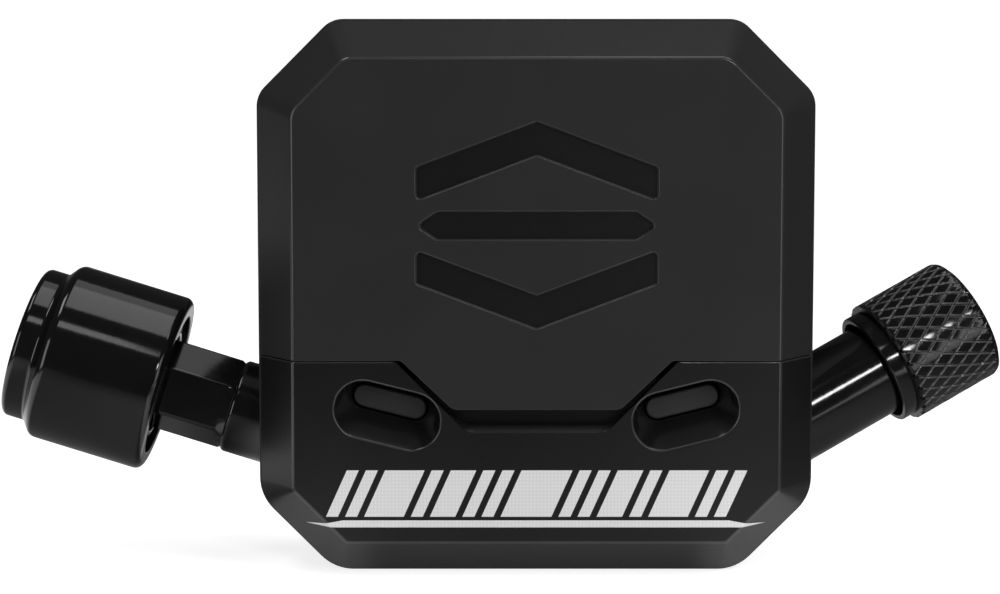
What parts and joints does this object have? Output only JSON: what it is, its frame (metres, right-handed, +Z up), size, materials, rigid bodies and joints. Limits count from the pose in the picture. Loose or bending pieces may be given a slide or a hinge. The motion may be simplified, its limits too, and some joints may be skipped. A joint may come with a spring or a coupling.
{
  "type": "air spring tuning sensor",
  "caption": "Square bevelled electronic pressure sensor for a bicycle air spring, with a screw-on valve coupling, a capped fill valve, light windows and a sliding battery cover.",
  "frame": {"origin": "centre of the flat bottom face, halfway through the housing's thickness", "axes": "+Z up when the housing stands on its bottom face, +X to the right of the face with the light windows, +Y towards the back"},
  "size_m": [0.0743, 0.0176, 0.0398],
  "materials": {
    "housing_plastic": "black fine-grained moulded plastic with a satin face",
    "smoked_window": "smoked translucent plastic, finely frosted",
    "inner_plastic": "dark grey moulded plastic",
    "black_anodised": "gloss black anodised aluminium",
    "bare_aluminium": "machined aluminium",
    "brass": "turned brass",
    "steel": "plated steel",
    "black_rubber": "matt black nitrile rubber",
    "board_laminate": "green solder mask on glass laminate",
    "chip_resin": "moulded black resin",
    "white_ceramic": "white moulded resin and ceramic",
    "white_print": "white screen-printed ink"
  },
  "bodies": {
    "housing": {"rear_housing": "housing_plastic", "front_bezel": "housing_plastic", "light_window_left": "smoked_window", "light_window_right": "smoked_window", "rim_gasket": "black_rubber", "battery_tray": "inner_plastic", "coin_cell": "steel", "battery_contact_positive": "steel", "battery_contact_negative": "steel", "circuit_board": "board_laminate", "processor_chip": "chip_resin", "radio_antenna": "white_ceramic", "motion_sensor": "chip_resin", "status_led_left": "white_ceramic", "status_led_right": "white_ceramic", "pressure_sensor": "steel", "sensor_o_ring": "black_rubber", "air_manifold": "bare_aluminium", "board_screw_left": "steel", "board_screw_right": "steel", "rear_screw_upper_left": "steel", "rear_screw_upper_right": "steel", "rear_screw_lower_left": "steel", "rear_screw_lower_right": "steel", "coupling_barrel": "black_anodised", "barrel_o_ring": "black_rubber", "core_depressor": "steel", "coupling_gasket": "black_rubber", "fill_stem": "black_anodised", "stem_o_ring": "black_rubber", "valve_core_body": "brass", "valve_core_spring": "steel"},
    "cover": {"battery_cover": "housing_plastic"},
    "collar": {"coupling_collar": "black_anodised", "collar_retaining_ring": "black_anodised"},
    "core_pin": {"valve_core_pin": "brass", "valve_core_seal": "black_rubber"},
    "cap_carrier": {"cap_seal": "black_rubber"},
    "cap": {"valve_cap": "black_anodised"}
  },
  "joints": [
    {"name": "collar_spin", "type": "hinge", "parent": "housing", "child": "collar", "pos_m": [-0.03205, 0.0016, 0.0142], "axis": [-0.9544, 0, 0.2984], "continuous": true},
    {"name": "cap_travel", "type": "slide", "parent": "housing", "child": "cap_carrier", "axis": [0.866, 0.1841, 0.4648], "range_m": [0, 0.00556]},
    {"name": "cap_turn", "type": "hinge", "parent": "cap_carrier", "child": "cap", "pos_m": [0.02929, 0.00284, 0.01591], "axis": [0.866, 0.1841, 0.4648], "range_deg": [0, 2520.5]},
    {"name": "core_pin_press", "type": "slide", "parent": "housing", "child": "core_pin", "axis": [-0.866, -0.1841, -0.4648], "range_m": [0, 0.0012], "stiffness_N_per_m": 1500, "springref_m": -0.001, "deforming": ["valve_core_spring"]},
    {"name": "cover_slide", "type": "slide", "parent": "housing", "child": "cover", "axis": [0, 0, 1], "range_m": [0, 0.026]}
  ],
  "couplings": [
    {"joint": "cap_turn", "follows": "cap_travel", "rad_per_m": 7915.8}
  ]
}
